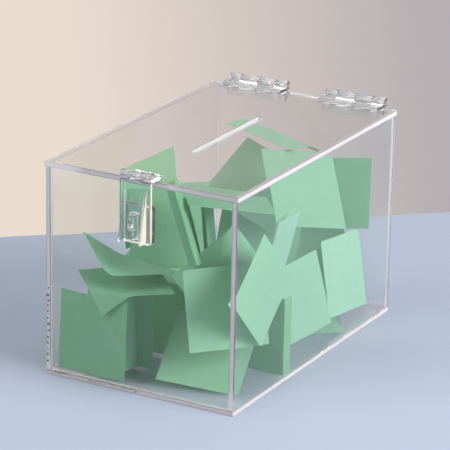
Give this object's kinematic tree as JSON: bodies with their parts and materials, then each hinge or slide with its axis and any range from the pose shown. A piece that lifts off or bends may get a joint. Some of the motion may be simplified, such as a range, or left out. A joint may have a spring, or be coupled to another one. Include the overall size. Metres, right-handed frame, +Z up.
{
  "type": "ballot box",
  "caption": "Clear acrylic ballot box with a slotted hinged lid, a padlock hasp over a staple on the front wall, and curled and folded paper ballots inside.",
  "frame": {"origin": "middle of the base's underside, on the surface that the box stands on", "axes": "+Z up; the front wall with the hasp faces -Y; +X to the right along the front; the box is longest along Y"},
  "size_m": [0.2024, 0.345, 0.2175],
  "materials": {
    "clear_sheet": "clear cast acrylic sheet, polished faces and saw-cut polished edges",
    "moulded_clear": "clear injection-moulded acrylic",
    "pin_rod": "clear acrylic rod",
    "ballot_paper": "uncoated pale green paper"
  },
  "bodies": {
    "box": {"base_panel": "clear_sheet", "left_wall": "clear_sheet", "right_wall": "clear_sheet", "front_wall": "clear_sheet", "back_wall": "clear_sheet", "hasp_staple": "moulded_clear", "left_hinge_wall_leaf": "moulded_clear", "right_hinge_wall_leaf": "moulded_clear", "left_hinge_pin": "pin_rod", "right_hinge_pin": "pin_rod", "ballot_01": "ballot_paper", "ballot_02": "ballot_paper", "ballot_03": "ballot_paper", "ballot_04": "ballot_paper", "ballot_05": "ballot_paper", "ballot_06": "ballot_paper", "ballot_07": "ballot_paper", "ballot_08": "ballot_paper", "ballot_09": "ballot_paper", "ballot_10": "ballot_paper", "ballot_11": "ballot_paper", "ballot_12": "ballot_paper", "ballot_13": "ballot_paper", "ballot_14": "ballot_paper", "ballot_15": "ballot_paper", "ballot_16": "ballot_paper", "ballot_17": "ballot_paper", "ballot_18": "ballot_paper", "ballot_19": "ballot_paper", "ballot_20": "ballot_paper", "ballot_21": "ballot_paper", "ballot_22": "ballot_paper", "ballot_23": "ballot_paper", "ballot_24": "ballot_paper", "ballot_25": "ballot_paper", "ballot_26": "ballot_paper", "ballot_27": "ballot_paper", "ballot_28": "ballot_paper"},
    "lid": {"lid_panel": "clear_sheet", "left_hinge_lid_leaf": "moulded_clear", "right_hinge_lid_leaf": "moulded_clear", "hasp_lid_leaf": "moulded_clear", "hasp_pin": "pin_rod"},
    "hasp": {"hasp_strap": "moulded_clear"}
  },
  "joints": [
    {"name": "lid_hinge", "type": "hinge", "parent": "box", "child": "lid", "pos_m": [0, 0.1635, 0.2135], "axis": [-1, 0, 0], "range_deg": [0, 205]},
    {"name": "hasp_hinge", "type": "hinge", "parent": "lid", "child": "hasp", "pos_m": [0, -0.1635, 0.2135], "axis": [-1, 0, 0], "range_deg": [0, 230]}
  ]
}
